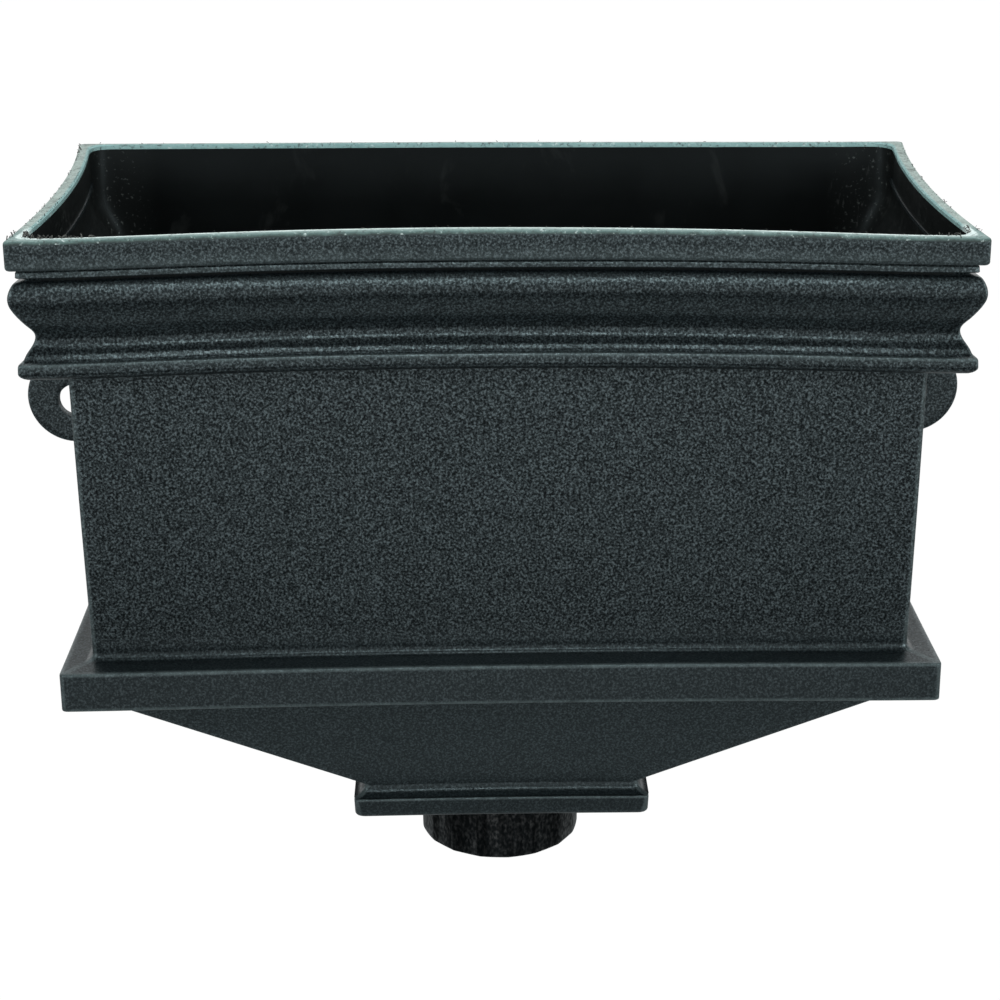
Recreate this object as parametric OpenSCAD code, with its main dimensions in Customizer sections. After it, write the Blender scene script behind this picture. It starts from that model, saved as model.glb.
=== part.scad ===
// Downpipe hopper head: one moulded shell with a mitred cornice, a box, a ledge,
// a funnel, a neck plate, a round spigot and two wall lugs.
// Frame: origin midway between the two fixing holes on the wall plane, +Z up,
// +Y into the wall, so the front of the hopper faces -Y. Millimetres.

/* [Overall] */
// Width over the rim's corners
rim_w = 360; // [340:5:380]
// Depth from the wall to the rim's front corners
rim_d = 180; // [170:5:190]
// Height of the rim above the fixing holes
rim_z = 115; // [110:1:120]
// Wall thickness
wall = 5; // [4:0.5:6]

/* [Cornice] */
// How far the front of the cornice bows in at its middle
front_bow = 13; // [11:0.5:14]
// How far each end of the cornice bows in at its middle
end_bow = 5.5; // [4:0.5:7]
// Height of the plain band at the rim
band_h = 11.5; // [10:0.5:12]
// Radius on the band's lower edge
band_r = 2; // [1:0.5:3]
// Depth of the quirk under the band
quirk_in = 3.2; // [2.5:0.1:4]
// Radius of the roll below the quirk
roll_r = 7.5; // [7:0.1:8]
// Depth of the roll's centre below the rim
roll_z = 20.5; // [20:0.1:21]
// Radius of the cove
cove_r = 8; // [7.5:0.1:8.2]
// Inset of the lip's nose from the rim's edge
lip_in = 1.4; // [1:0.1:2]
// Radius of the lip's underside
lip_r = 6.5; // [6:0.1:7]
// Depth of the soffit below the rim
soffit_z = 55; // [54:0.5:56]

/* [Box and ledge] */
// How far the front of the box bows in at its middle
box_bow = 5; // [4:0.5:6]
// Inset of the box at its top
box_in = 17.1; // [16:0.1:18]
// Extra inset of the box's ends at their foot, from the mould's draft
box_draft = 1.15; // [0.5:0.05:1.5]
// Extra inset of the box's front at its foot
front_draft = 3.8; // [3:0.1:4.5]
// Fillet between the box and the ledge
foot_r = 3; // [2:0.5:4]
// Inset of the ledge
ledge_in = 7.1; // [6:0.1:8]
// Depth of the ledge's top below the rim
ledge_z = 174; // [172:0.5:176]
// Height of the ledge's edge
ledge_h = 16.4; // [15:0.2:18]
// Radius on the ledge's upper edge
ledge_edge = 1; // [0.5:0.25:1.5]
// Radius on the ledge's lower edge
ledge_r = 2.5; // [1:0.5:3.5]

/* [Funnel and neck] */
// Inset of the funnel's front where it leaves the ledge
funnel_front = 17; // [15:0.5:20]
// Inset of the funnel's ends where they leave the ledge
funnel_end = 22; // [20:0.5:26]
// Distance of the funnel's back from the wall where it leaves the ledge
funnel_back = 5; // [4:0.5:8]
// Depth of the funnel's foot below the rim
neck_z = 237; // [235:0.5:239]
// Width of the neck plate
plate_w = 121; // [116:0.2:124]
// Thickness of the neck plate
plate_h = 9.9; // [9:0.1:11]
// Radius of the cove above the neck plate
neck_r = 4.6; // [4:0.1:5]
// Radius on the neck plate's lower edge
plate_r = 2.5; // [1:0.5:3]

/* [Outlet] */
// Distance of the outlet's axis from the wall
outlet_y = 90; // [86:1:94]
// Outer radius of the spigot
spigot_r = 34; // [32:0.5:36]
// Length of the spigot below the neck plate
spigot_h = 34; // [28:1:40]
// Wall of the spigot
spigot_wall = 4.5; // [3.5:0.5:5.5]
// Bevel on the spigot's lower edge
spigot_bevel = 1; // [0.5:0.25:1.5]

/* [Wall lugs] */
// Distance between the two fixing holes
hole_pitch = 377; // [374:1:380]
// Radius of a fixing hole
hole_r = 8; // [6:0.5:9]
// Radius of a lug's end
lug_r = 22.8; // [20:0.2:24]
// Thickness of a lug
lug_t = 5; // [4:0.5:6]

/* [Hidden] */
$fn = 48;
// The moulding is cut a trifle deeper at the ends than at the front
end_share = 1.02;
// Step between the two mouldings' levels, so that their edges don't meet in one point
mitre_step = 0.2;
// Facets of the long shallow arcs
arc_fn = 720;
// Straight lengths that make up a bowed end
end_runs = 5;
// Depth of every section, past the far side of the part
reach = 420;
// Centre of the cove's upper and lower arcs
cove_x = -0.1;
cove_top = 38.5;
cove_low = 40.3;
// Slope between the roll and the cove, from the vertical
slope_a = 29.6;
// Where the box starts, just above the soffit
box_top = soffit_z - 2;
ledge_foot = ledge_z + ledge_h;
plate_top = neck_z + neck_r;
plate_foot = plate_top + plate_h;
// Insets of the neck plate from the front, ends and back
plate_front = rim_d - box_bow - outlet_y - plate_w / 2;
plate_end = rim_w / 2 - plate_w / 2;
plate_back = outlet_y - plate_w / 2;
// Share of a wall's slant in a level cut through the funnel
drop = neck_z - ledge_foot;

function arc(cx, cz, r, a0, a1, n) = [for (i = [0:n]) let (t = a0 + (a1 - a0) * i / n) [cx + r * cos(t), cz + r * sin(t)]];
function bow_radius(half, sag) = (half * half + sag * sag) / (2 * sag);
function end_x(y, sag) = -rim_w / 2 + sag - sag * pow(2 * y / rim_d + 1, 2);

// Every section below has x as the distance in from the rim's edge and y as the height over the rim

// Outside of the cornice, with its insets times share
module cornice_section(share) {
  quirk_a = acos((quirk_in - roll_r) / roll_r);
  points = concat(
    [[0, 0]],
    arc(band_r, -band_h + band_r, band_r, 180, 270, 4),
    [[quirk_in, -band_h]],
    arc(roll_r, -roll_z, roll_r, quirk_a, 180 + slope_a, 9),
    arc(cove_x, -cove_top, cove_r, slope_a, 0, 4),
    arc(cove_x, -cove_low, cove_r, 0, -78, 8),
    arc(lip_in + lip_r, -soffit_z + lip_r, lip_r, 180, 270, 6));
  polygon(concat([for (q = points) [q[0] * share, q[1]]], [[reach, -soffit_z], [reach, 0]]));
}

// Inside of the cornice, open at the top, with its insets times share
module cornice_bore(share) {
  waist = cove_x + cove_r + wall;
  points = [[wall, 10], [wall, -roll_z - 4], [waist, -cove_top], [waist, -soffit_z + wall + 1]];
  polygon(concat([for (q = points) [q[0] * share, q[1]]], [[reach, -soffit_z + wall + 1], [reach, 10]]));
}

// Outline of the box and the ledge, from the top down
function box_points(draft) = let (foot = box_in + draft) concat(
  [[box_in, -box_top]],
  arc(foot - foot_r, -ledge_z + foot_r, foot_r, 0, -90, 6),
  arc(ledge_in + ledge_edge, -ledge_z - ledge_edge, ledge_edge, 90, 180, 2),
  arc(ledge_in + ledge_r, -ledge_foot + ledge_r, ledge_r, 180, 270, 4));

// Outline of the funnel, the neck and its plate, from the top down
function funnel_points(top_in, plate_in) = concat(
  [[top_in, -ledge_foot]],
  arc(plate_in, -neck_z, neck_r, 0, -90, 6),
  arc(plate_in + plate_r, -plate_foot + plate_r, plate_r, 180, 270, 4));

// Outside of the body, from one outline
module body_section(points) {
  polygon(concat(points, [[reach, -plate_foot], [reach, -box_top]]));
}

// Inside of the box and the funnel, from an upright wall at the inset given
module funnel_bore(wall_top, wall_foot, top_in, plate_in) {
  neck_in = plate_in + neck_r;
  run = (neck_in - top_in) / drop;
  side = wall * sqrt(1 + run * run);
  knee = ledge_foot + (wall_foot - top_in - side) / run;
  floor_z = neck_z - 3.2;
  polygon([[wall_top, -soffit_z + wall + 4], [wall_foot, -knee],
    [top_in + side + run * (floor_z - ledge_foot), -floor_z], [reach, -floor_z], [reach, -soffit_z + wall + 4]]);
}

// Sweeps a section along a front that bows in by sag
module sweep_front(sag) {
  r = bow_radius(rim_w / 2, sag);
  a = asin(rim_w / 2 / r) + 600 / r;
  translate([0, -(rim_d - sag) - r, rim_z]) rotate([0, 0, 90 - a])
    rotate_extrude(angle = 2 * a, $fn = arc_fn) translate([r, 0]) children();
}

// Runs a section along the left end, which bows in by sag, in a few straight lengths
module along_left(sag) {
  for (i = [0:end_runs - 1]) {
    y0 = -rim_d * i / end_runs;
    y1 = -rim_d * (i + 1) / end_runs;
    x0 = end_x(y0, sag);
    x1 = end_x(y1, sag);
    translate([(x0 + x1) / 2, (y0 + y1) / 2, rim_z]) rotate([0, 0, atan((x1 - x0) / (y0 - y1))])
      rotate([90, 0, 0]) linear_extrude(height = reach, center = true) children();
  }
}

// Runs a section straight along both ends
module both_ends() {
  translate([0, 50, rim_z]) rotate([90, 0, 0]) linear_extrude(height = rim_d + 100) intersection() {
    translate([rim_w / 2, 0]) mirror([1, 0]) children();
    translate([-rim_w / 2, 0]) children();
  }
}

// Runs a section straight along the back
module along_back() {
  translate([-rim_w / 2 - 50, 0, rim_z]) rotate([90, 0, 90]) linear_extrude(height = rim_w + 100)
    mirror([1, 0]) children();
}

module cornice_outer() {
  intersection() {
    sweep_front(front_bow) cornice_section(1);
    union() along_left(end_bow) translate([0, mitre_step]) cornice_section(end_share);
    mirror([1, 0, 0]) along_left(end_bow) translate([0, mitre_step]) cornice_section(end_share);
    translate([-rim_w, -rim_d - 20, rim_z - 80]) cube([2 * rim_w, rim_d + 20, 100]);
  }
}

module cornice_inner() {
  intersection() {
    sweep_front(front_bow) cornice_bore(1);
    union() along_left(end_bow) translate([0, mitre_step]) cornice_bore(end_share);
    mirror([1, 0, 0]) along_left(end_bow) translate([0, mitre_step]) cornice_bore(end_share);
    translate([-rim_w, -rim_d - 20, rim_z - 80]) cube([2 * rim_w, rim_d + 20 - wall, 100]);
  }
}

module body_outer() {
  intersection() {
    sweep_front(box_bow) body_section(concat(box_points(front_draft), funnel_points(funnel_front, plate_front)));
    both_ends() translate([0, mitre_step]) body_section(concat(box_points(box_draft), funnel_points(funnel_end, plate_end)));
    along_back() translate([0, -mitre_step])
      body_section(concat([[0, -box_top + 2], [0, -ledge_foot]], funnel_points(funnel_back, plate_back)));
  }
}

module body_inner() {
  top = box_in + wall;
  intersection() {
    sweep_front(box_bow) funnel_bore(top, top + front_draft, funnel_front, plate_front);
    both_ends() funnel_bore(top, top + box_draft, funnel_end, plate_end);
    along_back() funnel_bore(wall, wall, funnel_back, plate_back);
  }
}

module spigot() {
  translate([0, -outlet_y, rim_z - plate_foot - spigot_h]) rotate_extrude($fn = 192)
    polygon([[0, 0], [spigot_r - spigot_bevel, 0], [spigot_r, spigot_bevel], [spigot_r, spigot_h + 2], [0, spigot_h + 2]]);
}

module lug(side) {
  inner = rim_w / 2 - box_in - 4;
  rotate([90, 0, 0]) linear_extrude(height = lug_t) {
    translate([side * hole_pitch / 2, 0]) circle(r = lug_r, $fn = 192);
    translate([side > 0 ? inner : -hole_pitch / 2, -lug_r]) square([hole_pitch / 2 - inner, 2 * lug_r]);
  }
}

module hopper_head() {
  color([0.14, 0.155, 0.16]) difference() {
    union() {
      cornice_outer();
      body_outer();
      spigot();
      lug(1);
      lug(-1);
    }
    cornice_inner();
    body_inner();
    translate([0, -outlet_y, rim_z - plate_foot - spigot_h - 1])
      cylinder(r = spigot_r - spigot_wall, h = spigot_h + plate_h + 20, $fn = 192);
    for (side = [-1, 1]) translate([side * hole_pitch / 2, 1, 0]) rotate([90, 0, 0])
      cylinder(r = hole_r, h = lug_t + 2, $fn = 96);
  }
}

hopper_head();
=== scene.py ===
"""Downpipe hopper head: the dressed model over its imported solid, and the studio it is shown in."""

import math

import bmesh
import bpy
from mathutils import Matrix, Vector


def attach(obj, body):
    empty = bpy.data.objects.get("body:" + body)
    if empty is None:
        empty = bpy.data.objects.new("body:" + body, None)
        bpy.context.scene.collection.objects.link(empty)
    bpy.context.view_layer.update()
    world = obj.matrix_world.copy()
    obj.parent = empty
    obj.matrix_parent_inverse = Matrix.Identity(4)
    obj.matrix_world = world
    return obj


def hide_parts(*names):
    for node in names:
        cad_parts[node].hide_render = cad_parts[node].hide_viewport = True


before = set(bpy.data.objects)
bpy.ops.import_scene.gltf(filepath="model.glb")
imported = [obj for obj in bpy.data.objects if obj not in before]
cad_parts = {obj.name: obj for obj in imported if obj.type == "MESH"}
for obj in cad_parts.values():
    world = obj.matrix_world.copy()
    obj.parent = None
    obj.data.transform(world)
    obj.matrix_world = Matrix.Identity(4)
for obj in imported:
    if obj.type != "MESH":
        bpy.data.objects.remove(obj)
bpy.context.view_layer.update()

bl_info = {
    "name": "Downpipe Hopper Head",
    "version": (1, 0, 0),
    "blender": (4, 5, 0),
    "location": "View3D > Sidebar > Hopper",
    "description": "Builds a moulded downpipe hopper head with its studio",
    "category": "Object",
}

MM = 0.001
BODY = "root"
NODE = "hopper_head"

# Material indices on the shell
GRAINED, LINING, SAWN, TURNED = range(4)


def length(name, description, default):
    return bpy.props.FloatProperty(name=name, description=description, default=default, unit="LENGTH")


def colour(name, description, default):
    return bpy.props.FloatVectorProperty(
        name=name, description=description, subtype="COLOR", size=3, min=0, max=1, default=default)


class HopperSizes(bpy.types.PropertyGroup):
    """Sizes of the hopper in metres"""

    rim_width: length("Rim width", "Width over the rim's front corners", 0.360)
    rim_depth: length("Rim depth", "Depth from the wall to the rim's front corners", 0.180)
    rim_height: length("Rim height", "Height of the rim over the fixing holes", 0.115)
    plate_width: length("Neck plate", "Width of the plate over the spigot", 0.121)
    outlet_depth: length("Outlet depth", "Distance of the outlet's axis from the wall", 0.090)
    spigot_radius: length("Spigot radius", "Outer radius of the spigot", 0.034)
    spigot_length: length("Spigot length", "Length of the spigot below its plate", 0.034)
    hole_pitch: length("Hole pitch", "Distance between the fixing holes", 0.377)
    lug_radius: length("Lug radius", "Radius of a lug's end", 0.0213)
    hole_radius: length("Hole radius", "Radius of a fixing hole", 0.0076)


class HopperFinish(bpy.types.PropertyGroup):
    """Colours and texture of the hopper"""

    body_colour: colour("Body", "Colour of the grained outside", (0.0048, 0.0068, 0.0078))
    lining_colour: colour("Lining", "Colour of the smooth inside", (0.003, 0.0035, 0.0035))
    sawn_colour: colour("Sawn rim", "Colour of the cut top edge", (0.33, 0.39, 0.36))
    grain: length("Grain", "Size of one pebble of the cast grain", 0.00068)


def sizes():
    return bpy.context.scene.hopper_sizes


def finish():
    return bpy.context.scene.hopper_finish


# Section of the shell, in millimetres, with heights measured from the rim

# Outside of the cornice: inset, height and paleness of the edge, partly wear and partly a painted highlight
BAND_TOP = [(0.35, -0.35, 1.0), (0.08, -0.9, 1.0), (0.0, -1.5, 0.5), (0.0, -1.8, 0.2), (0.0, -5.0, 0.0)]
QUIRK = [
    (3.3, -11.6, 0.0), (3.4, -12.1, 0.0), (3.05, -12.5, 0.2), (2.9, -14.4, 0.3), (3.2, -14.7, 0.0),
    (5.6, -14.8, 0.0), (5.8, -15.9, 0.0), (2.7, -16.2, 0.0), (2.2, -16.5, 0.1), (1.75, -17.0, 0.1),
    (1.35, -17.6, 0.1),
]
# Inset and height, without wear
ROLL = [
    (1.0, -18.2), (0.7, -18.9), (0.42, -19.6), (0.2, -20.4), (0.06, -21.2), (0.0, -22.0),
    (0.02, -22.7), (0.12, -23.5), (0.3, -24.4), (0.6, -25.3), (0.95, -26.1), (1.7, -27.6),
    (2.65, -29.2), (3.75, -30.9), (4.9, -32.5),
]
COVE = [
    (6.1, -34.0), (6.8, -34.9), (7.3, -35.7), (7.62, -36.5), (7.78, -37.3), (7.8, -38.1),
    (7.65, -38.9), (7.4, -39.7), (7.05, -40.5), (6.6, -41.3), (6.05, -42.1), (5.38, -43.0),
    (4.8, -43.8), (4.42, -44.4), (4.12, -45.0), (3.74, -45.8), (3.36, -46.5), (3.1, -46.9),
]
LIP = [
    (2.5, -47.1, 0.4), (1.95, -47.4, 1.0), (1.7, -47.9, 1.0), (1.6, -48.6, 0.2), (1.5, -50.6, 0.0),
    (1.65, -51.4, 0.0), (2.2, -52.2, 0.0), (3.1, -53.0, 0.0), (4.2, -53.6, 0.0), (5.6, -54.0, 0.0),
    (7.4, -54.1, 0.0),
]

# Tables of height and value
FRONT_BOW = [(0, 14.4), (-11.5, 12.6), (-38.5, 11.8), (-48.5, 11.4), (-53.0, 11.0)]
FRONT_SHIFT = [
    (-26, 0.0), (-30.9, -0.4), (-34.0, -0.8), (-35.7, -0.85), (-37.3, -0.45), (-38.1, -0.2),
    (-38.9, 0.12), (-39.7, 0.4), (-40.5, 0.62), (-41.3, 0.85), (-43.0, 0.95), (-44.4, 0.58),
    (-46.5, 0.59), (-46.9, 0.4), (-47.4, 0.0),
]
BODY_BOW = [(-53, 5.7), (-169, 2.8), (-190, 2.5), (-237, 0.8), (-250, 0.5)]
BODY_END_BOW = [(-55, 1.0), (-190, 0.6), (-237, 0.0)]
BODY_GRAIN = [
    (-160, 1.0), (-168, 0.8), (-172, 0.5), (-176, 0.42), (-190, 0.4), (-196, 0.45), (-236, 0.4), (-243, 0.3),
]
CORNICE_GRAIN, SPIGOT_GRAIN, LUG_GRAIN = 0.8, 0.3, 0.7
END_BOW = 5.5

# Levels and lengths of the parts below the cornice
BOX_TOP, BOX_FALL = -55.0, 115.6
LEDGE_INSET = 7.1
FUNNEL_TOP, FUNNEL_FALL = -190.6, 46.5
NECK = 4.2
PLATE_FOOT = -250.6

# Levels of the lining
FLOOR_LEVEL, FLOOR_RISE = -232.6, 48.0
KNEE_LEVEL, LINING_RISE = -184.6, 128.6
KNEE = (23.2, 23.25, 5.0)
BACK_WALL = 5.0

# Insets of the cornice's inside: height, front and ends, front bow and end bow
LINING_SLOPE = [
    (-54.0, 21.4, 6.3, 1.4), (-51.5, 19.2, 8.0, 2.4), (-48.5, 16.0, 10.0, 3.9), (-45.0, 13.6, 12.0, 5.2),
    (-39.0, 12.7, 12.8, END_BOW),
]
# Height, front and back of the inside next to the rim
LINING_TOP = [(-21.0, 5.2, 4.9), (-14.0, 5.1, 4.2), (-7.0, 4.9, 3.4), (-2.0, 4.7, 2.7)]
# The saw's cut: inset at the ends, height and paleness
CUT_WIDTH = 5.2
CUT = [
    (CUT_WIDTH, -0.5, 1.0), (4.7, 0.0, 1.0), (3.4, 0.0, 0.95), (2.5, 0.0, 0.68), (1.6, 0.0, 0.6), (0.95, 0.0, 0.5),
]

SPIGOT_WALL = 4.5
SPIGOT_FLATS = 17
LUG_THICK, LUG_RISE, LUG_ROOT, LUG_STEPS = 5.0, 1.8, 160.0, 96
END_STEPS, FRONT_STEPS, BACK_STEPS, TURN_STEPS = 40, 120, 60, 6


def arc(cx, cz, r, a0, a1, n):
    """Points of an arc in a section, with angles in degrees."""
    turn = [math.radians(a0 + (a1 - a0) * i / n) for i in range(n + 1)]
    return [(cx + r * math.cos(t), cz + r * math.sin(t)) for t in turn]


def between(z, table):
    """A value read between the rows of a table of (height, value), highest row first."""
    if z >= table[0][0]:
        return table[0][1]
    for (z0, v0), (z1, v1) in zip(table, table[1:]):
        if z >= z1:
            return v0 + (v1 - v0) * (z0 - z) / (z0 - z1)
    return table[-1][1]


def bend(a, c, b, n):
    """Inner points of a rounded corner from a to b about the corner point c."""
    out = []
    for i in range(1, n):
        t = i / n
        out.append(tuple((1 - t) ** 2 * p + 2 * t * (1 - t) * q + t * t * r for p, q, r in zip(a, c, b)))
    return out


def blend(low, high, t):
    return [a + (c - a) * t for a, c in zip(low, high)]


def clamp(value):
    return max(0.0, min(1.0, value))


def warp(x, z):
    """Rise of the slightly warped cornice, high on the left, with the saw's cut sloping down to the right."""
    lean = -0.0046 * x * clamp((z + 174.0) / 120.0)
    return lean - 0.9 * clamp((x + 20.0) / 170.0) * clamp((z + 9.0) / 9.0)


class Ring:
    """One level of the shell: its insets in millimetres, its bows and its corner radii."""

    def __init__(self, z, front, end, back=0.0, front_bow=0.0, end_bow=0.0, corner=1.6, rear=1.0,
                 kind=GRAINED, edge=0.0, grain=1.0):
        self.z, self.front, self.end, self.back = z, front, end, back
        self.front_bow, self.end_bow = front_bow, end_bow
        self.corner, self.rear, self.kind, self.edge, self.grain = corner, rear, kind, edge, grain


def ring_points(ring):
    """Plan points of a ring and how much each lies on an upright corner."""
    s = sizes()
    half = s.rim_width / MM / 2 - ring.end
    front = -s.rim_depth / MM + ring.front
    rear = -ring.back
    deep = rear - front
    r, q = ring.corner, ring.rear

    def end_point(side, v):
        return (side * (half - ring.end_bow * 4 * v * (1 - v)), rear - v * deep)

    def front_point(u):
        return (u * half, front + ring.front_bow * (1 - u * u) * (1 - 0.9 * u ** 4))

    v0, v1, u1 = q / deep, 1 - r / deep, 1 - r / half
    points, corner = [], []

    def put(group, weight=0.0):
        for p in group:
            points.append(p)
            corner.append(weight)

    left = [end_point(-1, v0 + (v1 - v0) * i / END_STEPS) for i in range(END_STEPS + 1)]
    face = [front_point(-u1 + 2 * u1 * i / FRONT_STEPS) for i in range(FRONT_STEPS + 1)]
    right = [end_point(1, v1 + (v0 - v1) * i / END_STEPS) for i in range(END_STEPS + 1)]
    x = half - q
    back = [(x - 2 * x * i / BACK_STEPS, rear) for i in range(BACK_STEPS + 1)]
    put(left)
    put(bend(left[-1], front_point(-1), face[0], TURN_STEPS), 1.0)
    put(face)
    put(bend(face[-1], front_point(1), right[0], TURN_STEPS), 1.0)
    put(right)
    put(bend(right[-1], (half, rear), back[0], TURN_STEPS), 0.6)
    put(back)
    put(bend(back[-1], (-half, rear), left[0], TURN_STEPS), 0.6)
    return points, corner


def cornice_rings():
    """Outside of the cornice, from the worn rim down to the soffit."""
    section = BAND_TOP + [(p, z, 0.5) for p, z in arc(1.6, -9.9, 1.6, 180, 265, 5)] + QUIRK
    section += [(p, z, 0.0) for p, z in ROLL + COVE] + LIP
    rings = []
    for k, (p, z, edge) in enumerate(section):
        kind, grain = (SAWN, 0.24 - 0.12 * k) if k < 3 else (GRAINED, CORNICE_GRAIN)
        front = p + between(z, FRONT_SHIFT)
        rings.append(Ring(z, front, p, 0.0, between(z, FRONT_BOW), END_BOW, 1.2, 1.0, kind, edge, grain))
    return rings


def body_ring(z, front, end, back=0.0, edge=0.0, corner=2.2):
    bow, end_bow = between(z, BODY_BOW), between(z, BODY_END_BOW)
    return Ring(z, front, end, back, bow, end_bow, corner, 1.0, GRAINED, edge, between(z, BODY_GRAIN))


def box_rings():
    """Outside of the box, whose front leans back towards its foot, and of the ledge."""
    rings = [body_ring(-54.15, 17.0, 17.0), body_ring(BOX_TOP, 17.1, 17.1)]
    for i in range(1, 13):
        t = i / 12
        rings.append(body_ring(BOX_TOP - BOX_FALL * t, 17.1 + 3.8 * t ** 1.8, 17.1 + 1.15 * t))
    for p, z in arc(0.0, -171.1, 2.9, -8, -90, 8):
        rings.append(body_ring(z, 18.0 + p, 15.35 + p, corner=2.6))
    rings.append(body_ring(-174.05, 9.5, 9.5))
    for p, z in arc(7.8, -174.8, 0.7, 90, 180, 4):
        rings.append(body_ring(z, p, p, edge=1.0))
    rings += [body_ring(z, LEDGE_INSET, LEDGE_INSET) for z in (-175.6, -181.5, -188.4)]
    for p, z in arc(8.0, -189.3, 0.9, 180, 265, 5):
        rings.append(body_ring(z, p, p, edge=1.0))
    return rings


def plate_insets():
    """Insets of the neck plate's front, ends and back from the rim's corners and the wall."""
    s = sizes()
    half = s.plate_width / MM / 2
    return s.rim_depth / MM - s.outlet_depth / MM - half, s.rim_width / MM / 2 - half, s.outlet_depth / MM - half


def funnel_rings():
    """Outside of the funnel, the neck and its plate."""
    front, end, back = plate_insets()
    rings = [body_ring(-190.4, 17.5, 16.5, 3.5)]
    top, low = (18.5, 19.2, 5.0), (front + NECK, end + NECK, back + NECK)
    for i in range(0, 13):
        t = i / 12
        rings.append(body_ring(FUNNEL_TOP - FUNNEL_FALL * t, *blend(top, low, t), corner=2.4))
    for p, z in arc(0.0, -237.2, NECK, -8, -90, 7):
        rings.append(body_ring(z, front + p, end + p, back + p))
    shoulder = ((1.5, -241.7, 0.0), (1.3, -242.3, 0.0), (0.6, -241.9, 0.5), (0.15, -242.2, 1.0), (0.0, -242.6, 0.5))
    for q, z, edge in shoulder + ((0.0, -243.1, 0.0),):
        rings.append(body_ring(z, front + q, end + q, back + q, edge=edge))
    for p, z in arc(2.9, PLATE_FOOT + 2.2, 2.2, 180, 270, 6):
        rings.append(body_ring(z, front + p, end + p - 0.6, back + p, corner=3.2))
    return rings


def lining_rings():
    """Inside of the shell, from the funnel's floor up to the rim."""
    front, end, back = plate_insets()
    low = (front + 9.0, end + 9.3, back + 9.0)
    rings = []

    def add(z, f, e, b, bow, end_bow, r):
        rings.append(Ring(z, f, e, b, bow, end_bow, r, r, LINING))

    add(-233.8, low[0] + 2, low[1] + 2, low[2] + 2, 0.4, 0.0, 10)
    add(FLOOR_LEVEL, *low, 0.5, 0.0, 10)
    for i in range(1, 9):
        t = i / 8
        add(FLOOR_LEVEL + FLOOR_RISE * t, *blend(low, KNEE, t), 0.5 + 2.0 * t, 0.6 * t, 10)
    for i in range(1, 9):
        t = i / 8
        add(KNEE_LEVEL + LINING_RISE * t, KNEE[0] - 1.1 * t, KNEE[1] - 1.1 * t, BACK_WALL,
            2.5 + 3.2 * t, 0.6 + 0.4 * t, 10)
    for z, inset, bow, end_bow in LINING_SLOPE:
        add(z, inset, inset, BACK_WALL, bow, end_bow, 10)
    add(-33.0, 9.6, 9.6, BACK_WALL, 13.2, END_BOW, 10.5)
    add(-26.0, 6.0, 6.0, BACK_WALL, 13.7, END_BOW, 11)
    for z, at_front, at_back in LINING_TOP:
        add(z, at_front, CUT_WIDTH, at_back, between(z, FRONT_BOW), END_BOW, 11)
    return rings


def sawn_rings():
    """The cut top edge, from the inside over to the outside."""
    rings = []
    for p, z, pale in CUT:
        t = p / CUT_WIDTH
        corner, rear = 1.7 + 9.3 * t, 1.0 + 10 * t
        rings.append(Ring(z, p * 0.9, p, p * 0.5, between(z, FRONT_BOW), END_BOW, corner, rear, SAWN, 0.0, pale))
    return rings


def spigot_radius(angle, down, radius):
    """Radius of the knife-trimmed spigot, with shallow upright flats that deepen towards its end."""
    around = angle / (2 * math.pi) * SPIGOT_FLATS
    part = around % 1.0 - 0.5
    which = int(around) % SPIGOT_FLATS
    depth = (0.35 + 0.65 * math.sin(which * 2.4) ** 2) * down
    flat = math.cos(math.pi / SPIGOT_FLATS) / math.cos(part * 2 * math.pi / SPIGOT_FLATS)
    return radius * (1 - depth * (1 - flat) * 0.9)


def spigot_levels():
    """Levels of the spigot, outside down and then inside up: height, radius, finish, edge and trimming."""
    s = sizes()
    r, long = s.spigot_radius / MM, s.spigot_length / MM
    bore, foot = r - SPIGOT_WALL, PLATE_FOOT - long
    levels = [(PLATE_FOOT, r + 1.2, GRAINED, 0.0, 0.0), (PLATE_FOOT - 0.9, r + 0.2, TURNED, 0.0, 0.0)]
    for i in range(1, 9):
        levels.append((PLATE_FOOT - 0.9 - (long - 2.1) * i / 8, r, TURNED, 0.0, i / 8))
    return levels + [
        (foot + 0.45, r - 0.35, TURNED, 0.4, 1.0),
        (foot, r - 1.0, TURNED, 0.5, 1.0),
        (foot, bore + 0.6, TURNED, 0.2, 0.3),
        (foot + 0.8, bore, LINING, 0.0, 0.0),
        (-242.0, bore, LINING, 0.0, 0.0),
        (-235.0, bore + 0.3, LINING, 0.0, 0.0),
        (-233.9, bore + 1.8, LINING, 0.0, 0.0),
    ]


# Pieces

def new_piece(name, data):
    piece = bpy.data.objects.new(name, data)
    bpy.context.scene.collection.objects.link(piece)
    return piece


def skin(name, mesh_name, rows, kinds, crisp):
    """A closed piece over rows of (point in mm, edge, grain), with the material of the faces after each row."""
    mesh = bpy.data.meshes.new(mesh_name)
    bm = bmesh.new()
    edge_wear_and_highlight_layer = bm.verts.layers.float.new("edge")
    grain_layer = bm.verts.layers.float.new("grain")
    verts = []
    for row in rows:
        made = []
        for point, edge, grain in row:
            vert = bm.verts.new(Vector(point) * MM)
            vert[edge_wear_and_highlight_layer], vert[grain_layer] = edge, grain
            made.append(vert)
        verts.append(made)
    n = len(verts[0])
    for i, kind in enumerate(kinds):
        one, two = verts[i], verts[(i + 1) % len(verts)]
        for a in range(n):
            b = (a + 1) % n
            bm.faces.new((one[a], two[a], two[b], one[b])).material_index = kind
    bmesh.ops.recalc_face_normals(bm, faces=bm.faces)
    bm.to_mesh(mesh)
    bm.free()
    mesh.polygons.foreach_set("use_smooth", [True] * len(mesh.polygons))
    mesh.set_sharp_from_angle(angle=math.radians(crisp))
    return new_piece(name, mesh)


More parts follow.
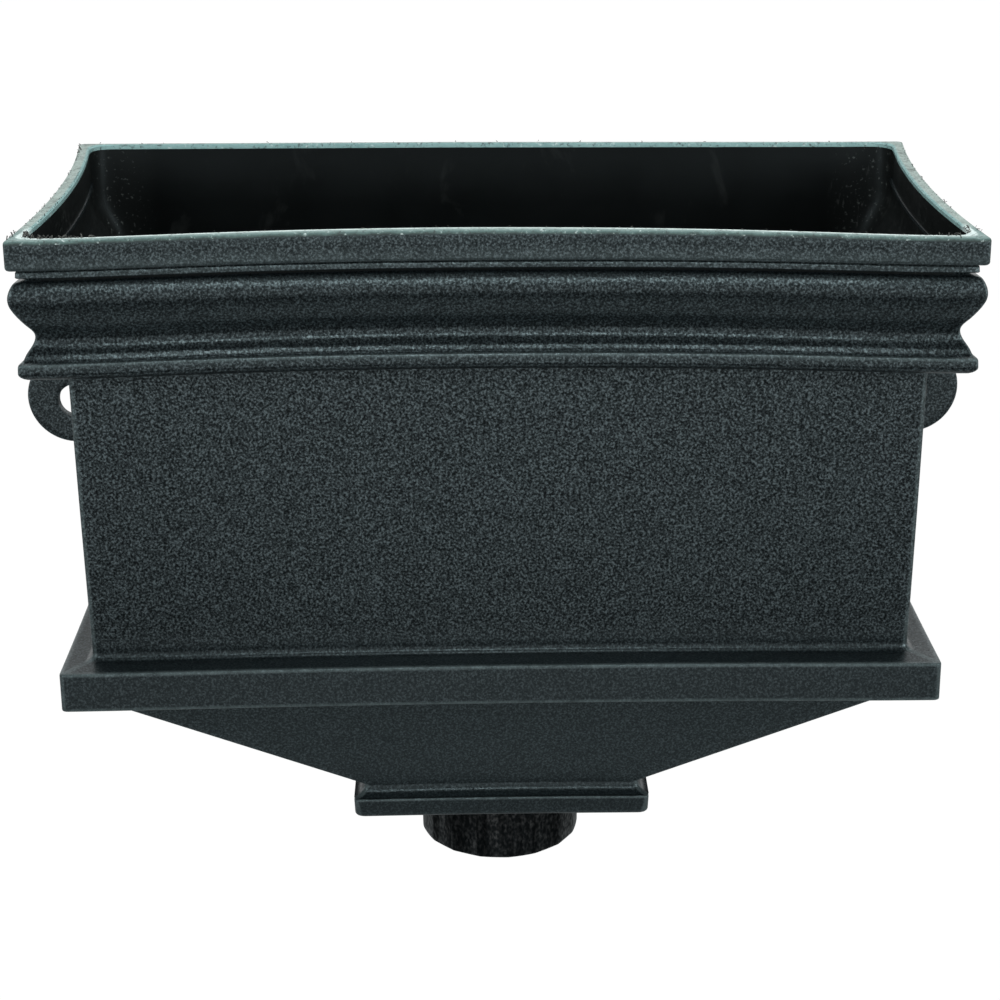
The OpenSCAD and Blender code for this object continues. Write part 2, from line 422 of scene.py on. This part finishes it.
def build_shell():
    """One closed skin: down the outside, round the spigot, up the lining and over the sawn rim."""
    s = sizes()
    lift = s.rim_height / MM
    centre = -s.outlet_depth / MM
    rows, finishes = [], []

    def add_ring(ring):
        row = []
        for (x, y), corner in zip(*ring_points(ring)):
            # Upright corners are paled too: a painted highlight along the corners, with wear
            edge = max(ring.edge, 0.8 * corner if ring.kind == GRAINED else 0.0)
            row.append(((x, y, ring.z + lift + warp(x, ring.z)), edge, ring.grain))
        rows.append(row)
        finishes.append(ring.kind)

    def add_round(z, radius, kind, edge, trimmed, like):
        row = []
        for (x, y, _), _, _ in like:
            angle = math.atan2(y - centre, x)
            r = spigot_radius(angle % (2 * math.pi), trimmed, radius) if trimmed else radius
            row.append(((r * math.cos(angle), centre + r * math.sin(angle), z + lift), edge, SPIGOT_GRAIN))
        rows.append(row)
        finishes.append(kind)

    for ring in cornice_rings() + box_rings() + funnel_rings():
        add_ring(ring)
    plate = rows[-1]
    for level in spigot_levels():
        add_round(*level, plate)
    for ring in lining_rings() + sawn_rings():
        add_ring(ring)
    return skin("hopper_shell", "hopper_shell", rows, finishes[1:] + [SAWN], 40)


def build_lug(side):
    """A flat lug with a round end and one fixing hole, its inner edge sunk in the box's side."""
    s = sizes()
    pitch = s.hole_pitch / MM / 2
    reach = pitch - LUG_ROOT
    radius, hole = s.lug_radius / MM, s.hole_radius / MM

    def outline(angle, inset):
        c, d = math.cos(angle), math.sin(angle)
        round_end = radius - inset
        if c >= 0:
            return LUG_RISE * d + math.sqrt(round_end ** 2 - (LUG_RISE * c) ** 2)
        limit = (round_end + math.copysign(LUG_RISE, d)) / abs(d) if abs(d) > 1e-6 else 1e9
        return min(limit, reach / abs(c))

    # Which edge, inset, depth behind the lug's front face and paleness of the rounded edge, partly wear and partly
    # a painted highlight
    levels = [
        ("hole", 0.0, LUG_THICK, 0.0), ("hole", 0.0, 0.7, 0.0), ("hole", 0.25, 0.2, 0.5), ("hole", 0.8, 0.0, 0.0),
        ("hole", 2.6, 0.0, 0.0), ("rim", 4.0, 0.0, 0.0), ("rim", 1.0, 0.0, 0.0), ("rim", 0.3, 0.3, 0.5),
        ("rim", 0.0, 1.0, 0.0), ("rim", 0.0, LUG_THICK, 0.0),
    ]
    rows = []
    for kind, inset, behind, edge in levels:
        row = []
        for i in range(LUG_STEPS):
            angle = 2 * math.pi * i / LUG_STEPS
            d = hole + inset if kind == "hole" else outline(angle, inset)
            point = (side * (pitch + d * math.cos(angle)), behind - LUG_THICK, d * math.sin(angle))
            row.append((point, edge, LUG_GRAIN))
        rows.append(row)
    return skin("wall_lug_right" if side > 0 else "wall_lug_left", "lug", rows, [GRAINED] * len(rows), 35)


# Finishes

class Nodes:
    """A node tree whose nodes are placed in order, with short calls to make and join them."""

    def __init__(self, tree):
        self.tree = tree
        self.step = 0

    def node(self, kind, **values):
        made = self.tree.nodes.new(kind)
        made.location = (-260 - 180 * (self.step % 6), 320 - 240 * (self.step // 6))
        self.step += 1
        for key, value in values.items():
            setattr(made, key, value)
        return made

    def join(self, source, target):
        self.tree.links.new(source, target)

    def give(self, socket, value):
        """Set a socket to a number or a colour, or join it to another node's output."""
        if isinstance(value, (int, float)):
            socket.default_value = value
        elif isinstance(value, tuple):
            socket.default_value = (*value, 1)
        else:
            self.join(value, socket)

    def noise(self, where, scale, detail=2.0, rough=0.5, distort=0.0):
        made = self.node("ShaderNodeTexNoise")
        made.inputs["Scale"].default_value = scale
        made.inputs["Detail"].default_value = detail
        made.inputs["Roughness"].default_value = rough
        made.inputs["Distortion"].default_value = distort
        self.join(where, made.inputs["Vector"])
        return made.outputs["Fac"]

    def ramp(self, source, *stops):
        made = self.node("ShaderNodeValToRGB")
        band = made.color_ramp
        while len(band.elements) < len(stops):
            band.elements.new(0.5)
        for element, (place, value) in zip(band.elements, stops):
            element.position = place
            element.color = (value, value, value, 1) if isinstance(value, (int, float)) else (*value, 1)
        self.join(source, made.inputs["Fac"])
        return made.outputs["Color"]

    def math(self, how, a, b):
        made = self.node("ShaderNodeMath", operation=how)
        for socket, value in zip(made.inputs, (a, b)):
            self.give(socket, value)
        return made.outputs[0]

    def times(self, a, b):
        return self.math("MULTIPLY", a, b)

    def larger(self, a, b):
        return self.math("MAXIMUM", a, b)

    def mix(self, amount, a, b, how="MIX"):
        made = self.node("ShaderNodeMix", data_type="RGBA", blend_type=how)
        colours = [i for i in made.inputs if i.type == "RGBA"]
        factor = [i for i in made.inputs if i.type == "VALUE"][0]
        for socket, value in ((factor, amount), (colours[0], a), (colours[1], b)):
            self.give(socket, value)
        return [o for o in made.outputs if o.type == "RGBA"][0]

    def axis(self, where, name):
        made = self.node("ShaderNodeSeparateXYZ")
        self.join(where, made.inputs[0])
        return made.outputs[name]

    def stretch(self, where, scale, turn=(0, 0, 0)):
        made = self.node("ShaderNodeMapping")
        made.inputs["Scale"].default_value = scale
        made.inputs["Rotation"].default_value = turn
        self.join(where, made.inputs["Vector"])
        return made.outputs["Vector"]


class Finish(Nodes):
    """A material with a Principled shader."""

    def __init__(self, name):
        self.material = bpy.data.materials.new(name)
        self.material.use_nodes = True
        super().__init__(self.material.node_tree)
        self.shader = self.tree.nodes["Principled BSDF"]

    def set(self, name, value):
        self.give(self.shader.inputs[name], value)

    def place(self):
        return self.node("ShaderNodeTexCoord").outputs["Object"]

    def painted(self, name):
        return self.node("ShaderNodeAttribute", attribute_name=name).outputs["Fac"]

    def bump(self, height, strength, distance, after=None):
        made = self.node("ShaderNodeBump")
        self.give(made.inputs["Strength"], strength)
        made.inputs["Distance"].default_value = distance
        self.join(height, made.inputs["Height"])
        if after is not None:
            self.join(after, made.inputs["Normal"])
        return made.outputs["Normal"]


def scaled(tint, factor):
    return tuple(c * factor for c in tint)


def grained_finish():
    """Dark plastic moulded with a fine pebbled cast grain, paler along edges and upright corners as wear with a
    painted highlight, with a few hair scratches.
    """
    f = Finish("grained_plastic")
    base = tuple(finish().body_colour)
    pebble = 1.0 / finish().grain
    where = f.place()
    share = f.painted("grain")
    # A turned space keeps flat faces off the noise's own grid
    slanted = f.stretch(where, (1, 1, 1), (0.7, 0.4, 1.1))
    coarse = f.noise(slanted, pebble * 0.75, 0.0, 0.5)
    fine = f.noise(slanted, pebble * 1.5, 0.0, 0.5)
    blotch = f.noise(where, 22.0, 3.0, 0.6)
    both = f.math("ADD", f.times(coarse, 0.6), f.times(fine, 0.4))
    height = f.ramp(both, (0.30, 0.0), (0.70, 1.0))
    tint = f.mix(f.ramp(blotch, (0.3, 0.0), (0.75, 1.0)), scaled(base, 0.88), scaled(base, 1.12))
    pitted = f.mix(1.0, tint, f.ramp(both, (0.34, 0.2), (0.5, 0.8), (0.58, 1.5), (0.72, 3.0)), "MULTIPLY")
    tint = f.mix(share, tint, pitted)
    # Paler edges and upright corners: wear mixed with a painted highlight along the arrises
    paler_tone = f.times(f.painted("edge"), f.ramp(f.noise(where, 210.0, 4.0, 0.65), (0.3, 0.35), (0.6, 1.0)))
    tint = f.mix(f.times(paler_tone, 0.6), tint, (0.10, 0.125, 0.127))
    hair = f.noise(f.stretch(where, (1.0, 1.0, 0.16)), 760.0, 2.0, 0.6, 0.8)
    hair = f.ramp(hair, (0.735, 0.0), (0.78, 1.0))
    hair = f.times(hair, f.ramp(f.noise(where, 34.0, 2.0, 0.5), (0.52, 0.0), (0.62, 1.0)))
    hair = f.times(hair, f.math("SUBTRACT", 1.0, share))
    f.set("Base Color", f.mix(f.times(hair, 0.8), tint, (0.24, 0.27, 0.26)))
    glint = f.ramp(both, (0.32, 0.14), (0.44, 0.38), (0.52, 0.66), (0.60, 1.14), (0.68, 1.9))
    f.set("Specular IOR Level", f.mix(share, (0.54, 0.54, 0.54), glint))
    f.set("Specular Tint", (0.76, 0.95, 1.0))
    f.set("Roughness", f.ramp(fine, (0.2, 0.27), (0.8, 0.38)))
    f.set("Normal", f.bump(height, share, 0.00003))
    return f.material


def lining_finish():
    """Smooth, almost black moulded inside with faint rub marks and scuffs at its ends."""
    f = Finish("smooth_lining")
    base = tuple(finish().lining_colour)
    where = f.place()
    haze = f.noise(f.stretch(where, (1.0, 1.0, 0.55)), 42.0, 5.0, 0.62, 0.6)
    haze = f.ramp(haze, (0.60, 0.0), (0.80, 1.0))
    tint = f.mix(f.times(haze, 0.12), base, (0.16, 0.17, 0.165))
    ends = f.times(f.math("ABSOLUTE", f.axis(where, "X"), 0.0), 5.0)
    ends = f.ramp(ends, (0.73, 0.0), (0.79, 1.0))
    scuff = f.noise(f.stretch(where, (1.0, 1.0, 0.22)), 300.0, 4.0, 0.7, 0.4)
    scuff = f.ramp(scuff, (0.60, 0.0), (0.74, 1.0))
    patch = f.ramp(f.noise(where, 38.0, 2.0, 0.5), (0.48, 0.0), (0.62, 0.35))
    tint = f.mix(f.times(f.times(scuff, ends), patch), tint, (0.20, 0.21, 0.20))
    speck = f.ramp(f.noise(where, 640.0, 2.0, 0.6), (0.62, 0.02), (0.72, 0.3))
    f.set("Base Color", f.mix(f.times(speck, ends), tint, (0.20, 0.22, 0.21)))
    f.set("Roughness", f.ramp(f.noise(where, 30.0, 4.0, 0.6), (0.3, 0.30), (0.75, 0.46)))
    f.set("Specular Tint", (0.8, 0.95, 1.0))
    f.set("Specular IOR Level", 0.17)
    f.set("Normal", f.bump(f.noise(where, 60.0, 3.0, 0.5), 0.12, 0.0006))
    return f.material


def sawn_finish():
    """Cut edge of the wall: pale, uneven along the saw's way, with dark tears and light flecks."""
    f = Finish("sawn_edge")
    base = tuple(finish().sawn_colour)
    where = f.place()
    tear = f.noise(where, 620.0, 4.0, 0.7, 0.4)
    patch = f.noise(where, 130.0, 5.0, 0.75)
    fleck = f.noise(where, 520.0, 3.0, 0.6)
    inner = f.painted("grain")
    front = f.ramp(f.times(f.axis(where, "Y"), -5.0), (0.785, 0.0), (0.825, 1.0))
    plain = f.ramp(patch, (0.32, scaled(base, 0.45)), (0.48, base), (0.66, scaled(base, 1.2)))
    plain = f.mix(f.ramp(inner, (0.965, 0.0), (1.0, 0.7)), plain, (0.20, 0.40, 0.40))
    pale = f.math("ADD", f.times(inner, 0.75), f.times(patch, 0.5))
    paler_tone = f.ramp(
        pale, (0.25, (0.02, 0.034, 0.032)), (0.42, (0.09, 0.15, 0.14)), (0.64, (0.2, 0.28, 0.265)),
        (0.82, (0.27, 0.36, 0.345)), (0.92, (0.66, 0.76, 0.73)), (1.0, (0.8, 0.88, 0.85)))
    tint = f.mix(front, plain, paler_tone)
    tint = f.mix(f.ramp(fleck, (0.60, 0.0), (0.72, 0.7)), tint, (0.60, 0.68, 0.66))
    f.set("Base Color", f.mix(f.ramp(tear, (0.34, 0.8), (0.45, 0.0)), tint, (0.03, 0.035, 0.033)))
    f.set("Roughness", 0.62)
    f.set("Normal", f.bump(tear, 0.5, 0.0005))
    return f.material


def turned_finish():
    """Darker, glossier spigot with upright trimming marks."""
    f = Finish("trimmed_spigot")
    base = scaled(finish().body_colour, 0.6)
    where = f.place()
    stroke = f.noise(f.stretch(where, (1.0, 1.0, 0.05)), 190.0, 3.0, 0.6)
    tint = f.mix(f.ramp(stroke, (0.35, 0.0), (0.7, 1.0)), scaled(base, 0.6), scaled(base, 1.6))
    # The spigot's cut end is paler: wear with a painted highlight on its arris
    f.set("Base Color", f.mix(f.times(f.painted("edge"), 0.3), tint, (0.06, 0.066, 0.066)))
    f.set("Roughness", f.ramp(stroke, (0.3, 0.26), (0.7, 0.42)))
    leather = f.noise(f.stretch(where, (1.0, 1.0, 0.6)), 800.0, 1.0, 0.5)
    pebbled = f.ramp(leather, (0.40, 0.2), (0.55, 0.7), (0.68, 1.7))
    f.set("Specular IOR Level", f.times(pebbled, f.ramp(stroke, (0.38, 0.10), (0.62, 0.48))))
    f.set("Normal", f.bump(leather, 0.5, 0.0003, f.bump(stroke, 0.4, 0.0005)))
    return f.material


def burr_finish():
    """Torn shreds of plastic left by the saw."""
    f = Finish("burr_shreds")
    speck = f.noise(f.place(), 900.0, 2.0, 0.6)
    f.set("Base Color", f.mix(f.ramp(speck, (0.4, 0.0), (0.7, 1.0)), (0.02, 0.022, 0.021), (0.12, 0.115, 0.1)))
    f.set("Roughness", 0.6)
    return f.material


# Burrs along the rim

BURR_LIFT, BURR_LIMIT = 0.0001, 0.0016


def burr_tree(material):
    """Geometry nodes that set small torn shreds at random along a path."""
    tree = bpy.data.node_groups.new("rim_burrs", "GeometryNodeTree")
    face = tree.interface
    face.new_socket("Geometry", in_out="INPUT", socket_type="NodeSocketGeometry")
    for name, kind, value in (("Spacing", "Float", 0.0016), ("Shred Size", "Float", 0.0008),
                              ("Share Kept", "Float", 0.4), ("Seed", "Int", 7)):
        face.new_socket(name, in_out="INPUT", socket_type="NodeSocket" + kind).default_value = value
    face.new_socket("Geometry", in_out="OUTPUT", socket_type="NodeSocketGeometry")

    def node(kind, x, y, **values):
        made = tree.nodes.new(kind)
        made.location = (x, y)
        for key, value in values.items():
            setattr(made, key, value)
        return made

    def random_vector(x, y, least, most):
        made = node("FunctionNodeRandomValue", x, y, data_type="FLOAT_VECTOR")
        made.inputs[0].default_value, made.inputs[1].default_value = least, most
        return made

    link = tree.links.new
    given = node("NodeGroupInput", -900, 0)
    result = node("NodeGroupOutput", 900, 0)
    path = node("GeometryNodeMeshToCurve", -700, 100)
    points = node("GeometryNodeResampleCurve", -500, 100, mode="LENGTH")
    keep = node("FunctionNodeRandomValue", -500, -150, data_type="BOOLEAN")
    curl = node("GeometryNodeCurveArc", -700, 350)
    curl.inputs["Resolution"].default_value = 7
    curl.inputs["Radius"].default_value = 1.0
    curl.inputs["Sweep Angle"].default_value = 2.6
    thread = node("GeometryNodeCurvePrimitiveCircle", -700, 550)
    thread.inputs["Resolution"].default_value = 5
    thread.inputs["Radius"].default_value = 0.26
    shred = node("GeometryNodeCurveToMesh", -500, 350)
    shred.inputs["Fill Caps"].default_value = True
    scale = random_vector(-300, -250, (0.3, 0.3, 0.4), (1.3, 1.1, 1.2))
    turn = random_vector(-300, -450, (-1.6, -1.6, 0.0), (1.6, 1.6, 6.28))
    grow = node("ShaderNodeVectorMath", -100, -250, operation="SCALE")
    place = node("GeometryNodeInstanceOnPoints", 120, 100)
    real = node("GeometryNodeRealizeInstances", 330, 100)
    shift = random_vector(120, -250, (-0.00007,) * 3, (0.00007,) * 3)
    tear = node("GeometryNodeSetPosition", 520, 100)
    paint = node("GeometryNodeSetMaterial", 710, 100)
    paint.inputs["Material"].default_value = material
    link(given.outputs["Geometry"], path.inputs["Mesh"])
    link(path.outputs["Curve"], points.inputs["Curve"])
    link(given.outputs["Spacing"], points.inputs["Length"])
    link(given.outputs["Share Kept"], keep.inputs["Probability"])
    for socket_node in (keep, scale, turn, shift):
        link(given.outputs["Seed"], socket_node.inputs["Seed"])
    link(curl.outputs["Curve"], shred.inputs["Curve"])
    link(thread.outputs["Curve"], shred.inputs["Profile Curve"])
    link(points.outputs["Curve"], place.inputs["Points"])
    link([o for o in keep.outputs if o.type == "BOOLEAN"][0], place.inputs["Selection"])
    link(shred.outputs["Mesh"], place.inputs["Instance"])
    link(turn.outputs[0], place.inputs["Rotation"])
    link(scale.outputs[0], grow.inputs[0])
    link(given.outputs["Shred Size"], grow.inputs["Scale"])
    link(grow.outputs[0], place.inputs["Scale"])
    link(place.outputs["Instances"], real.inputs["Geometry"])
    link(real.outputs["Geometry"], tear.inputs["Geometry"])
    link(shift.outputs[0], tear.inputs["Offset"])
    link(tear.outputs["Geometry"], paint.inputs["Geometry"])
    link(paint.outputs["Geometry"], result.inputs["Geometry"])
    return tree


def rim_paths():
    """Stretches of the rim where shreds hang: name, points, spacing, shred size, share kept and seed."""
    inner = ring_points(Ring(0.0, 4.4, 4.9, 3.2, 14.4, END_BOW, 10.4, 10.4))[0]
    outer = ring_points(Ring(0.0, 0.9, 0.9, 0.6, 14.4, END_BOW, 2.3, 1.6))[0]
    near = END_STEPS + TURN_STEPS
    far = near + FRONT_STEPS
    rear = far + TURN_STEPS + END_STEPS
    return [
        ("front_inside", inner[near - 6:far], 0.0045, 0.0005, 0.5, 3),
        ("left_inside", inner[12:near], 0.0030, 0.0005, 0.5, 11),
        ("left_corner", inner[near - 6:near + 7], 0.0005, 0.0010, 0.85, 5),
        ("left_tip", outer[near - 9:near + 1], 0.0022, 0.0010, 0.6, 41),
        ("left_outside", outer[2:near - 6], 0.0026, 0.00045, 0.5, 17),
        ("left_rear", outer[0:5], 0.0018, 0.0009, 0.7, 37),
        ("right_corner", inner[far - 2:far + 8], 0.0009, 0.0009, 0.7, 23),
        ("right_tip", outer[far - 4:far + 10], 0.0030, 0.0006, 0.6, 43),
        ("right_outside", outer[far + 16:rear], 0.0036, 0.0006, 0.5, 31),
        ("back_outside", outer[rear + 8:], 0.009, 0.0006, 0.5, 29),
    ]


def build_burrs():
    """Shreds left by the saw along the rim, joined in one piece."""
    material = burr_finish()
    tree = burr_tree(material)
    sockets = {i.name: i.identifier for i in tree.interface.items_tree if i.in_out == "INPUT"}
    joined = bmesh.new()

    def cut_level(x):
        return sizes().rim_height + warp(x, 0.0) * MM

    for name, points, spacing, size, share, seed in rim_paths():
        mesh = bpy.data.meshes.new(name)
        verts = [(x * MM, y * MM, cut_level(x) + BURR_LIFT) for x, y in points]
        mesh.from_pydata(verts, [(i, i + 1) for i in range(len(points) - 1)], [])
        path = new_piece(name, mesh)
        layer = path.modifiers.new("burrs", "NODES")
        layer.node_group = tree
        for socket, value in (("Spacing", spacing), ("Shred Size", size), ("Share Kept", share), ("Seed", seed)):
            layer[sockets[socket]] = value
        shown = path.evaluated_get(bpy.context.evaluated_depsgraph_get())
        plain = bpy.data.meshes.new_from_object(shown)
        path.modifiers.remove(layer)
        joined.from_mesh(plain)
        bpy.data.objects.remove(path)
        bpy.data.meshes.remove(plain)
        bpy.data.meshes.remove(mesh)
    for vert in joined.verts:
        vert.co.z = min(vert.co.z, cut_level(vert.co.x / MM) + BURR_LIMIT)
    mesh = bpy.data.meshes.new("rim_burrs")
    joined.to_mesh(mesh)
    joined.free()
    mesh.materials.clear()
    mesh.materials.append(material)
    return new_piece("rim_burrs", mesh)


# Studio

# Brightness of the room in reflections, by the height of the direction
ROOM = [
    (-1.0, 0.25), (-0.88, 0.13), (-0.75, 0.1), (-0.64, 0.05), (-0.53, 0.03), (-0.49, 0.08), (-0.463, 0.25),
    (-0.44, 0.44), (-0.41, 0.7), (-0.36, 0.94), (-0.3, 1.0), (-0.24, 0.74), (0.1, 0.8), (0.25, 0.72),
    (0.42, 0.12), (0.8, 0.1), (1.0, 0.1),
]
LAMP_COLOUR = (0.95, 1.0, 1.0)
# Name, place, aim, width, height and watts
LAMPS = [
    ("left", (-0.62, -0.80, 0.36), (0.0, -0.14, 0.05), 0.5, 0.5, 2.0),
    ("right", (0.66, -0.80, 0.36), (0.0, -0.14, 0.05), 0.5, 0.5, 3.0),
    ("top", (0.0, -0.15, 1.0), (0.0, -0.12, 0.05), 0.6, 0.4, 4.2),
    ("front", (0.0, -1.02, 0.66), (0.0, -0.18, 0.07), 0.22, 0.14, 1.3),
]
CAMERA_PLACE = (-0.01248, -0.99670, 0.31277)
CAMERA_PITCH, CAMERA_YAW, CAMERA_ROLL = 0.3390723, 0.0150469, -0.0071387
GROUND = -0.42


def area_light(name, place, aim, wide, tall, watts):
    data = bpy.data.lights.new(name, "AREA")
    data.shape = "RECTANGLE"
    data.size, data.size_y = wide, tall
    data.energy = watts
    data.color = LAMP_COLOUR
    lamp = new_piece(name, data)
    lamp.location = place
    lamp.rotation_euler = (Vector(aim) - Vector(place)).to_track_quat("-Z", "Y").to_euler()


def set_camera():
    """Camera at the photograph's viewing angle."""
    pitch, yaw, roll = CAMERA_PITCH, CAMERA_YAW, CAMERA_ROLL
    ahead = Vector((math.sin(yaw) * math.cos(pitch), math.cos(yaw) * math.cos(pitch), -math.sin(pitch)))
    right = Vector((math.cos(yaw), -math.sin(yaw), 0.0))
    up = right.cross(ahead)
    across = right * math.cos(roll) + up * math.sin(roll)
    over = up * math.cos(roll) - right * math.sin(roll)
    data = bpy.data.cameras.new("camera")
    data.lens, data.sensor_width = 82.9, 36.0
    data.shift_y = -0.02662
    camera = new_piece("camera", data)
    rows = [(a, o, -d, p) for a, o, d, p in zip(across, over, ahead, CAMERA_PLACE)]
    camera.matrix_world = Matrix(rows + [(0, 0, 0, 1)])
    bpy.context.scene.camera = camera


def set_world():
    """White to the eye, white behind the object and dimmer in front of it for reflections, with soft even light."""
    world = bpy.data.worlds.new("studio")
    bpy.context.scene.world = world
    world.use_nodes = True
    world.node_tree.nodes.clear()
    w = Nodes(world.node_tree)

    def spread(source, low, high):
        made = w.node("ShaderNodeMapRange")
        made.inputs["From Min"].default_value, made.inputs["From Max"].default_value = low, high
        w.join(source, made.inputs["Value"])
        return made.outputs["Result"]

    way = w.node("ShaderNodeTexCoord").outputs["Generated"]
    front = w.ramp(spread(w.axis(way, "Z"), -1.0, 1.0), *(((z + 1) / 2, value) for z, value in ROOM))
    around = w.larger(front, spread(w.axis(way, "Y"), 0.0, 0.35))
    path = w.node("ShaderNodeLightPath")
    eye = w.larger(path.outputs["Is Camera Ray"], path.outputs["Is Transmission Ray"])
    seen = w.node("ShaderNodeBackground")
    seen.inputs["Color"].default_value = (1, 1, 1, 1)
    w.join(w.larger(eye, around), seen.inputs["Strength"])
    lit = w.node("ShaderNodeBackground")
    lit.inputs["Color"].default_value = (0.9, 0.98, 1.0, 1)
    lit.inputs["Strength"].default_value = 0.5
    mix = w.node("ShaderNodeMixShader")
    w.join(w.larger(eye, path.outputs["Is Glossy Ray"]), mix.inputs[0])
    w.join(lit.outputs[0], mix.inputs[1])
    w.join(seen.outputs[0], mix.inputs[2])
    w.join(mix.outputs[0], w.node("ShaderNodeOutputWorld").inputs[0])


def build_floor():
    """Pale floor under and behind the hopper, white to the eye, with the soft shadow left on it."""
    mesh = bpy.data.meshes.new("floor")
    corners = ((-4, -0.5), (4, -0.5), (4, 8), (-4, 8))
    mesh.from_pydata([(x, y, GROUND) for x, y in corners], [], [(0, 1, 2, 3)])
    floor = new_piece("floor", mesh)
    f = Finish("pale_floor")
    f.set("Base Color", (0.5, 0.5, 0.5))
    f.set("Roughness", 0.9)
    f.set("Specular IOR Level", 0.0)
    glow = f.node("ShaderNodeEmission")
    glow.inputs["Color"].default_value = (1, 1, 1, 1)
    glow.inputs["Strength"].default_value = 1.06
    path = f.node("ShaderNodeLightPath")
    eye = f.larger(path.outputs["Is Camera Ray"], path.outputs["Is Transmission Ray"])
    mix = f.node("ShaderNodeMixShader")
    f.join(f.times(eye, 0.94), mix.inputs[0])
    f.join(f.shader.outputs[0], mix.inputs[1])
    f.join(glow.outputs[0], mix.inputs[2])
    f.join(mix.outputs[0], f.tree.nodes["Material Output"].inputs["Surface"])
    mesh.materials.append(f.material)


# Operators

class HOPPER_OT_shell(bpy.types.Operator):
    """Build the moulded shell with its cornice, box, ledge, funnel and spigot"""

    bl_idname = "hopper.shell"
    bl_label = "Moulded Shell"

    def execute(self, context):
        shell = build_shell()
        for material in (grained_finish(), lining_finish(), sawn_finish(), turned_finish()):
            shell.data.materials.append(material)
        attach(shell, BODY)
        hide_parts(NODE)
        return {"FINISHED"}


class HOPPER_OT_lugs(bpy.types.Operator):
    """Build the two wall lugs"""

    bl_idname = "hopper.lugs"
    bl_label = "Wall Lugs"

    def execute(self, context):
        material = bpy.data.materials["grained_plastic"]
        for side in (-1, 1):
            lug = build_lug(side)
            lug.data.materials.append(material)
            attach(lug, BODY)
        return {"FINISHED"}


class HOPPER_OT_burrs(bpy.types.Operator):
    """Set the saw's torn shreds along the rim"""

    bl_idname = "hopper.burrs"
    bl_label = "Rim Burrs"

    def execute(self, context):
        burrs = build_burrs()
        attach(burrs, BODY)
        return {"FINISHED"}


class HOPPER_OT_stage(bpy.types.Operator):
    """Set the floor, the lamps, the white surroundings and the camera"""

    bl_idname = "hopper.stage"
    bl_label = "Studio"

    def execute(self, context):
        set_camera()
        set_world()
        build_floor()
        for lamp in LAMPS:
            area_light(*lamp)
        context.scene.view_settings.view_transform = "Standard"
        return {"FINISHED"}


class HOPPER_PT_panel(bpy.types.Panel):
    """Lists the hopper's pieces, sizes and finishes"""

    bl_idname = "HOPPER_PT_panel"
    bl_label = "Hopper Head"
    bl_space_type = "VIEW_3D"
    bl_region_type = "UI"
    bl_category = "Hopper"

    def draw(self, context):
        column = self.layout.column()
        for operator in OPERATORS:
            column.operator(operator.bl_idname)
        for group in (context.scene.hopper_sizes, context.scene.hopper_finish):
            column.separator()
            for name in group.__annotations__:
                column.prop(group, name)


OPERATORS = (HOPPER_OT_shell, HOPPER_OT_lugs, HOPPER_OT_burrs, HOPPER_OT_stage)
CLASSES = (HopperSizes, HopperFinish) + OPERATORS + (HOPPER_PT_panel,)


def register():
    for cls in CLASSES:
        bpy.utils.register_class(cls)
    bpy.types.Scene.hopper_sizes = bpy.props.PointerProperty(type=HopperSizes)
    bpy.types.Scene.hopper_finish = bpy.props.PointerProperty(type=HopperFinish)


def unregister():
    del bpy.types.Scene.hopper_finish
    del bpy.types.Scene.hopper_sizes
    for cls in reversed(CLASSES):
        bpy.utils.unregister_class(cls)


def main():
    register()
    bpy.ops.hopper.shell()
    bpy.ops.hopper.lugs()
    bpy.ops.hopper.burrs()
    bpy.ops.hopper.stage()


if __name__ == "__main__":
    main()
